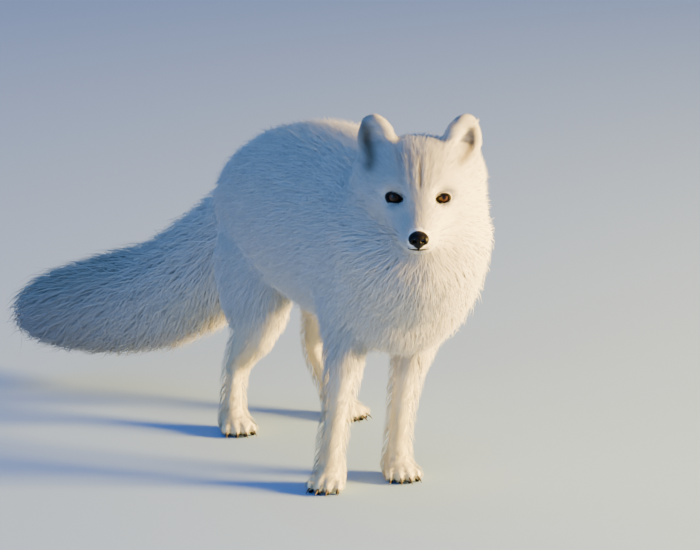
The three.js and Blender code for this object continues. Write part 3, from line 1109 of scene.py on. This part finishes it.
def eye_material(colours):
    """Wet eye: amber iris with radial fibres round a dark upright pupil, under a glossy clear cornea."""
    made, tree = new_material("eye, wet, amber iris")
    across = node(tree, "ShaderNodeAttribute", attribute_name="across")
    above = node(tree, "ShaderNodeAttribute", attribute_name="above")
    flat = node(tree, "ShaderNodeCombineXYZ", {"X": across.outputs["Fac"], "Y": above.outputs["Fac"]})
    flat = flat.outputs["Vector"]          # mm from the middle of the pupil
    size = node(tree, "ShaderNodeVectorMath", {0: flat}, operation="LENGTH")
    way = node(tree, "ShaderNodeVectorMath", {0: flat}, operation="NORMALIZE")
    fibre = node(tree, "ShaderNodeTexNoise", {
        "Vector": way.outputs["Vector"], "Scale": 9, "Detail": 3})      # fibres 0.4 mm apart, 4 mm out
    colour = node(tree, "ShaderNodeMix", data_type="RGBA", sockets={
        AMOUNT: fibre.outputs["Fac"], FIRST: linear("#20110a"), SECOND: colours.iris})
    tall = node(tree, "ShaderNodeVectorMath", {0: flat, 1: (1.2, 0.85, 1.0)}, operation="MULTIPLY")
    pupil = node(tree, "ShaderNodeVectorMath", {0: tall.outputs["Vector"]}, operation="LENGTH")
    # Each ring's measure, the mm between which it changes, its strengths there and its colour.
    rings = (
        (size, 2.2, 4.0, 0.0, 0.5, "#6f4526"),          # the iris is paler towards its edge
        (size, 3.9, 4.7, 0.0, 1.0, "#0d0806"),          # dark ring round it
        (pupil, 1.7, 2.1, 1.0, 0.0, "#050303"),         # a little taller than wide
    )
    for measure, start, end, before, after, tint in rings:
        amount = node(tree, "ShaderNodeMapRange", {
            "Value": measure.outputs["Value"], "From Min": start, "From Max": end,
            "To Min": before, "To Max": after})
        colour = node(tree, "ShaderNodeMix", data_type="RGBA", sockets={
            AMOUNT: amount.outputs["Result"], FIRST: colour.outputs[MIXED], SECOND: linear(tint)})
    surface = node(tree, "ShaderNodeBsdfPrincipled", {
        "Base Color": colour.outputs[MIXED], "Roughness": 0.3, "IOR": 1.38, "Specular IOR Level": 0.2,
        "Coat Weight": 0.6, "Coat Roughness": 0.02, "Coat IOR": 1.38})
    node(tree, "ShaderNodeOutputMaterial", {"Surface": surface.outputs["BSDF"]})
    return made


class FOX_OT_eyes(bpy.types.Operator):
    """Make the eyeballs, each with its cornea and a gaze towards the viewer"""

    bl_idname = "fox.eyes"
    bl_label = "Eyes"

    def execute(self, context):
        material = eye_material(context.scene.fox_colours)
        radius = EYE_RADIUS / MM - 0.1                  # just inside the solid
        bulge, bulge_reach = 0.7, math.radians(40)      # of the cornea
        turns, rings = 48, 32
        for eye in LIDDED:
            at_viewer = unit(np.array(camera_place()) - eye.centre)
            gaze = unit(at_viewer - UPWARD * 0.04 + LEFTWARD * SIDES[eye.side] * 0.03)
            right = unit(np.cross(gaze, (0, 0, 1)))
            up = np.cross(right, gaze)
            slant = np.linspace(0, math.pi, rings + 1)[1:-1]
            around = np.arange(turns) * 2 * math.pi / turns
            r = radius + bulge * ramp(slant, bulge_reach, 0)
            flat = (r * np.sin(slant))[:, None, None] * np.stack([np.cos(around), np.sin(around)], -1)
            ahead = np.repeat((r * np.cos(slant))[:, None], turns, 1)
            body = np.concatenate([flat, ahead[..., None]], -1).reshape(-1, 3)
            local = np.concatenate([[(0, 0, radius + bulge)], body, [(0, 0, -radius)]])
            points = eye.centre + local * MM @ np.array((right, up, gaze))
            k, later = np.arange(turns), (np.arange(turns) + 1) % turns
            last = len(points) - 1
            band = np.stack([1 + k, 1 + turns + k, 1 + turns + later, 1 + later], 1)
            quads = np.concatenate([band + i * turns for i in range(rings - 2)])
            front = np.stack([k * 0, 1 + k, 1 + later], 1)
            back = np.stack([k * 0 + last, last - turns + later, last - turns + k], 1)
            caps = np.concatenate([front, back])
            ball = mesh_from(f"eyeball_{eye.side}", points, [quads, caps], material=material)
            in_front = np.where(local[:, 2] > 0, 1, 9)      # the back gets no pupil of its own
            add_values(ball, "across", local[:, 0] * in_front)
            add_values(ball, "above", local[:, 1] * in_front)
            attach(ball, BODY)
            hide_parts(f"eye_{eye.side}")
        return {"FINISHED"}


class FOX_OT_lids(bpy.types.Operator):
    """Make the eyelids, which wrap each eyeball and run out under the fur"""

    bl_idname = "fox.lids"
    bl_label = "Eyelids"

    def execute(self, context):
        material = lid_material(context.scene.fox_colours)
        ball = EYE_RADIUS / MM
        for eye in LIDDED:
            def distance(p):
                flat = p[:, :, 0, :2].reshape(-1, 2)
                gap = eye.off_almond(flat)[0].reshape(*p.shape[:2], 1)
                face = (shape.height.at(eye.world(p.reshape(-1, 3))) / MM).reshape(p.shape[:3]) - 0.7
                lid = rounded_union(eye.lid_height(p, gap), face, 2.0) + 3.0 * ramp(gap, 0.8, 4.5)
                lid = rounded_cut(lid, gap + eye.RIM + 0.05 * (p[..., 2] - ball), 0.7)
                clear_of_ball = ball + 0.05 - np.linalg.norm(p, axis=-1)
                return np.maximum(np.maximum(lid, clear_of_ball), 1.0 - p[..., 2])

            box = ((-19, -15, -1), (16, 15, 14))
            lid, local = carved(f"eyelids_{eye.side}", box, 0.42, distance, eye.world, material)
            gap = eye.off_almond(local[:, :2])[0]
            add_values(lid, "rim", 1 - ramp(gap, 0.5, 1.4))
            if eye.side == "right":
                lid.data.flip_normals()          # its frame is a mirror image of the left one's
        return {"FINISHED"}


class FOX_OT_nose(bpy.types.Operator):
    """Make the nose pad, with its nostrils and the groove down its middle"""

    bl_idname = "fox.nose"
    bl_label = "Nose"

    def execute(self, context):
        material = leather_material(context.scene.fox_colours)
        centre = in_head(NOSE[None])[0]

        def distance(p):
            pad = ellipsoid(p, (0, 0, 0.4), (8.4, 9.0, 7.0))
            pad = rounded_union(pad, ellipsoid(p, (0.6, 0, -4.2), (6.6, 4.6, 4.8)), 2.5)
            pad = rounded_union(pad, capsule(p, (5.0, 0, -7.0), (3.6, 0, -9.8), 1.0), 1.2)
            for side in SIDES.values():
                wing = ellipsoid(p, (1.6, side * 6.0, -0.6), (5.6, 3.4, 4.6))
                pad = rounded_union(pad, wing, 1.6)
            for side in SIDES.values():
                hole = capsule(p, (9.5, side * 3.1, -1.1), (3.2, side * 4.4, -0.2), 1.45)
                slit = capsule(p, (6.4, side * 5.0, -2.2), (1.8, side * 9.4, -2.6), 0.75)
                pad = rounded_cut(pad, rounded_union(hole, slit, 0.8), 0.8)
            groove = capsule(p, (9.0, 0, 1.0), (6.6, 0, -9.5), 0.62)
            return rounded_cut(pad, groove, 0.5)

        box = ((-10, -11, -12), (11, 11, 10))
        nose, _ = carved("nose_pad", box, 0.33, distance, lambda p: from_head(p + centre), material)
        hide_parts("nose")
        return {"FINISHED"}


def tubes(name, paths, radii, sides, material):
    """Closed tapering tubes along paths that have one number of points each, as one piece."""
    paths, radii = np.asarray(paths, float), np.asarray(radii, float)
    count, length = paths.shape[:2]
    along = unit(np.gradient(paths, axis=1))
    up = np.broadcast_to(np.array((0.05, 0.1, 1.0)), along.shape)
    side = unit(np.cross(up, along))
    up = np.cross(along, side)
    turn = np.arange(sides) * 2 * math.pi / sides
    ring = np.cos(turn)[:, None] * side[:, :, None] + np.sin(turn)[:, None] * up[:, :, None]
    points = (paths[:, :, None] + ring * radii[:, :, None, None]).reshape(-1, 3)
    k = np.arange(sides)
    body = np.concatenate([np.stack([i * sides + k, i * sides + (k + 1) % sides,
                                     (i + 1) * sides + (k + 1) % sides, (i + 1) * sides + k], 1)
                           for i in range(length - 1)])
    first = (np.arange(count) * length * sides)[:, None, None]
    ends = np.stack([k[::-1], k + (length - 1) * sides])
    obj = mesh_from(name, points, [(first + body).reshape(-1, 4), (first + ends).reshape(-1, sides)],
                    material=material)
    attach(obj, BODY)
    return obj


def on_coat(starts, ways, height, reach=40 * MM):
    """Where rays that leave the body pass a height above the skin."""
    far = np.linspace(0, 1, 160) * reach
    places = starts[:, None] + ways[:, None] * far[:, None]
    heights = shape.height.at(places.reshape(-1, 3)).reshape(len(starts), -1)
    above = heights > np.reshape(height, (-1, 1))
    first = above.argmax(1)
    return places[np.arange(len(starts)), first]


class FOX_OT_lips(bpy.types.Operator):
    """Make the dark line of the closed mouth"""

    bl_idname = "fox.lips"
    bl_label = "Lips"

    def execute(self, context):
        top = in_head(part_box("lower_jaw")[1])[2]
        count = 61
        turn = np.radians(np.linspace(-105, 105, count))
        side = np.abs(turn)
        rise = top - 0.2 - 2.2 * ramp(side, 0.2, 1.1) + 4.0 * ramp(side, 1.2, 2.0)
        start = np.stack([np.full(count, 26.0), 0 * turn, rise], -1)
        ahead = start + np.stack([np.cos(turn), np.sin(turn), 0 * turn], -1)
        ways = unit(from_head(ahead) - from_head(start))
        height = mix(1.6, 0.2, ramp(side, 0.2, 0.7)) * MM
        path = on_coat(from_head(start), ways, height)
        radius = mix(mix(0.75, 0.3, ramp(side, 0.12, 0.35)), 0.12, ramp(side, 0.35, 0.8)) * MM
        lips = tubes("lips", [path], [radius], 8, leather_material(context.scene.fox_colours))
        return {"FINISHED"}


def whisker_material():
    """Whiskers: stiff dark horn that shines a little along its length."""
    made, tree = new_material("whisker, stiff dark horn")
    surface = node(tree, "ShaderNodeBsdfPrincipled", {"Base Color": linear("#5a5048"), "Roughness": 0.4})
    node(tree, "ShaderNodeOutputMaterial", {"Surface": surface.outputs["BSDF"]})
    return made


class FOX_OT_whiskers(bpy.types.Operator):
    """Set the whiskers on the muzzle"""

    bl_idname = "fox.whiskers"
    bl_label = "Whiskers"

    def execute(self, context):
        rng = np.random.default_rng(SEED + 50)
        steps = np.linspace(0, 1, 10)
        sag = np.array((-0.5, 0, -0.75))
        paths, radii = [], []
        for sign in SIDES.values():
            for row, (up, count) in enumerate(((-28.0, 2), (-31.0, 3), (-34.0, 2))):
                for k in range(count):
                    start = np.array((37 - 5.0 * k - row, 0, up))      # inside the muzzle, below the eyes
                    way = unit(from_head(start + (0, sign, 0)) - from_head(start))
                    root = on_coat(from_head(start)[None], way[None], -0.6 * MM)[0]
                    length = rng.uniform(30, 46) * (1 - 0.12 * row)
                    lean = unit((-0.75 + rng.normal(0, 0.1), sign, 0.5 - 0.3 * row + rng.normal(0, 0.08)))
                    curve = lean * steps[:, None] * length + sag * steps[:, None] ** 2 * length * 0.5
                    paths.append(root + curve * MM @ TURN)
                    radii.append(mix(0.15, 0.05, steps) * MM)
        whiskers = tubes("whiskers", paths, radii, 5, whisker_material())
        return {"FINISHED"}


def claw_material():
    """Claws: dark horn, polished by wear, with a paler cloudy grain."""
    made, tree = new_material("claw, dark horn")
    place = node(tree, "ShaderNodeTexCoord")
    clouds = 1 / (1.4 * MM)          # clouds of grain about 1.4 mm across
    grain = node(tree, "ShaderNodeTexNoise", {
        "Vector": place.outputs["Object"], "Scale": clouds, "Detail": 2})
    tint = node(tree, "ShaderNodeMix", data_type="RGBA", sockets={
        AMOUNT: grain.outputs["Fac"], FIRST: linear("#2c241d"), SECOND: linear("#54473a")})
    surface = node(tree, "ShaderNodeBsdfPrincipled", {
        "Base Color": tint.outputs[MIXED], "Roughness": 0.35})
    node(tree, "ShaderNodeOutputMaterial", {"Surface": surface.outputs["BSDF"]})
    return made


class FOX_OT_claws(bpy.types.Operator):
    """Set four claws and the toe pads on each foot"""

    bl_idname = "fox.claws"
    bl_label = "Claws and pads"

    def execute(self, context):
        t = np.linspace(0, 1, 8)
        drop = (5.8 - 4.4 * t ** 1.6) * MM
        claw = np.interp(t, (0, 0.5, 1), (1.3, 1.0, 0.25)) * MM
        pad = np.sqrt(np.maximum(1 - (2 * t - 1) ** 2, 0.02)) * 1.9 * MM
        paths, pads = [], []
        for centre, along, across, length, width in paw_frames().values():
            for k in (-1.5, -0.5, 0.5, 1.5):
                ahead = length * 0.5 - 0.06 * length * abs(k) ** 1.5 - 1.2 * MM
                way = unit(along + across * k * 0.16)
                tip = centre + along * ahead + across * k * width * TOE_SPACING
                flat = tip - way * (10 * MM) * (1 - t)[:, None]
                paths.append(np.column_stack([flat, drop]))
                under = tip - way * (15 - 8.5 * t)[:, None] * MM
                pads.append(np.column_stack([under, np.full(8, 2.0 * MM)]))
        claws = tubes("claws", paths, [claw] * len(paths), 8, claw_material())
        leather = leather_material(context.scene.fox_colours)
        soles = tubes("toe_pads", pads, [pad] * len(pads), 10, leather)
        return {"FINISHED"}


# Stage --------------------------------------------------------------------------------------------


LOOK_AT = Vector((0.1683, 0.0232, 0.1975))
CAMERA_TURN = math.radians(66)
CAMERA_RISE = math.radians(12)
CAMERA_DISTANCE = 4.5
LENS = 243.0           # mm, on a sensor 36 mm wide
FLOOR_HALF = 20.0      # half the floor's side


def camera_place():
    """Where the camera stands."""
    flat = math.cos(CAMERA_RISE)
    away = Vector((math.sin(CAMERA_TURN) * flat, -math.cos(CAMERA_TURN) * flat, math.sin(CAMERA_RISE)))
    return LOOK_AT + away * CAMERA_DISTANCE


def floor_material(colours):
    """Pale plaster, floated smooth: matt, so that the fox's shadows lie on it softly."""
    made, tree = new_material("plaster, pale, floated")
    surface = node(tree, "ShaderNodeBsdfPrincipled", {
        "Base Color": colours.floor, "Roughness": 0.9, "Specular IOR Level": 0.15})
    node(tree, "ShaderNodeOutputMaterial", {"Surface": surface.outputs["BSDF"]})
    return made


def area_light(name, place, size, watts, colour):
    """A soft round light that faces the fox."""
    light = bpy.data.lights.new(name, "AREA")
    light.shape = "DISK"
    light.size = size
    light.energy = watts
    light.color = linear(colour)
    obj = bpy.data.objects.new(name, light)
    obj.location = place
    obj.rotation_euler = (LOOK_AT - Vector(place)).to_track_quat("-Z", "Y").to_euler()
    bpy.context.scene.collection.objects.link(obj)


class FOX_OT_stage(bpy.types.Operator):
    """Set the floor, the lights and the camera"""

    bl_idname = "fox.stage"
    bl_label = "Stage"

    def execute(self, context):
        square = [(x * FLOOR_HALF, y * FLOOR_HALF, 0) for x, y in ((-1, -1), (1, -1), (1, 1), (-1, 1))]
        material = floor_material(context.scene.fox_colours)
        mesh_from("floor", square, [[(0, 1, 2, 3)]], material=material)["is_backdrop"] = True
        camera = bpy.data.cameras.new("camera")
        camera.lens = LENS
        camera.sensor_width = 36.0
        stand = bpy.data.objects.new("camera", camera)
        stand.location = camera_place()
        stand.rotation_euler = (LOOK_AT - stand.location).to_track_quat("-Z", "Y").to_euler()
        context.scene.collection.objects.link(stand)
        context.scene.camera = stand
        right = Vector((math.cos(CAMERA_TURN), math.sin(CAMERA_TURN), 0))
        near = Vector((math.sin(CAMERA_TURN), -math.cos(CAMERA_TURN), 0))
        up = Vector((0, 0, 1))
        area_light("key", LOOK_AT + right * 3.2 + near * 0.5 + up * 0.6, 1.2, 1450, "#ffcf6e")
        area_light("fill", LOOK_AT - right * 2.0 + near * 2.6 + up * 0.9, 2.6, 42, "#8ab8ff")
        area_light("top", LOOK_AT + up * 3.0 - near * 0.8, 2.4, 16, "#9cc2ff")
        world = bpy.data.worlds.new("studio")
        world.use_nodes = True
        back = world.node_tree.nodes["Background"]
        back.inputs["Color"].default_value = (*linear("#70affa"), 1)
        back.inputs["Strength"].default_value = 0.62
        context.scene.world = world
        return {"FINISHED"}


# Panel and run ------------------------------------------------------------------------------------


STEPS = ("stage", "skin", "eyes", "lids", "nose", "lips", "whiskers", "claws", "coat")
CLASSES = (FoxSizes, FoxColours, FOX_OT_stage, FOX_OT_skin, FOX_OT_eyes, FOX_OT_lids, FOX_OT_nose,
           FOX_OT_lips, FOX_OT_whiskers, FOX_OT_claws, FOX_OT_coat)


class FOX_PT_panel(bpy.types.Panel):
    """The fox's sizes, colours and steps"""

    bl_idname = "FOX_PT_panel"
    bl_label = "Arctic Fox"
    bl_space_type = "VIEW_3D"
    bl_region_type = "UI"
    bl_category = "Fox"

    def draw(self, context):
        for group in (context.scene.fox_sizes, context.scene.fox_colours):
            for key in type(group).__annotations__:
                self.layout.prop(group, key)
        for step in STEPS:
            self.layout.operator(f"fox.{step}")


def register():
    """Adds the classes and the scene's settings."""
    for cls in (*CLASSES, FOX_PT_panel):
        bpy.utils.register_class(cls)
    bpy.types.Scene.fox_sizes = bpy.props.PointerProperty(type=FoxSizes)
    bpy.types.Scene.fox_colours = bpy.props.PointerProperty(type=FoxColours)


def unregister():
    """Takes them away again."""
    del bpy.types.Scene.fox_sizes
    del bpy.types.Scene.fox_colours
    for cls in reversed((*CLASSES, FOX_PT_panel)):
        bpy.utils.unregister_class(cls)


def main():
    """Makes the fox step by step."""
    register()
    for step in STEPS:
        getattr(bpy.ops.fox, step)()
    boxes = {"cad": CAD_BOX, "visual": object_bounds()}
    boxes = {key: [list(corner) for corner in box] for key, box in boxes.items()}


if __name__ == "__main__":
    main()
